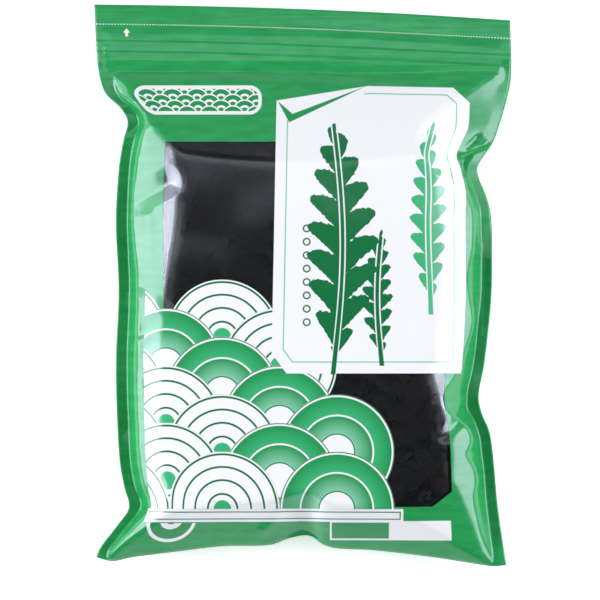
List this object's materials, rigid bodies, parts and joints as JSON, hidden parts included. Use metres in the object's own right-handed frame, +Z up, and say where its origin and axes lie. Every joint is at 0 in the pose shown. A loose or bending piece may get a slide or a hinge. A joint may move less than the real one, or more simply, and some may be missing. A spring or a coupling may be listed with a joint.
{
  "type": "dried wakame pouch",
  "caption": "Filled resealable pouch of dried cut wakame: flat zip header, kinked side fins, folded lower edge and a clear window over dark crumpled flakes.",
  "frame": {"origin": "on the surface the pouch lies on, under the centre of its outline", "axes": "+X to the right across the pouch's front, +Y towards the zip header, +Z up out of the front"},
  "size_m": [0.2202, 0.2966, 0.0464],
  "materials": {
    "printed_film": "glossy green print and white label with a clear window",
    "back_film": "glossy green print",
    "zip_track": "satin, translucent",
    "wakame": "dry, near black"
  },
  "bodies": {
    "root": {"front_film": "printed_film", "back_film": "back_film", "zip_rib_track": "zip_track", "zip_lip_track": "zip_track", "wakame_heap": "wakame"}
  },
  "joints": []
}
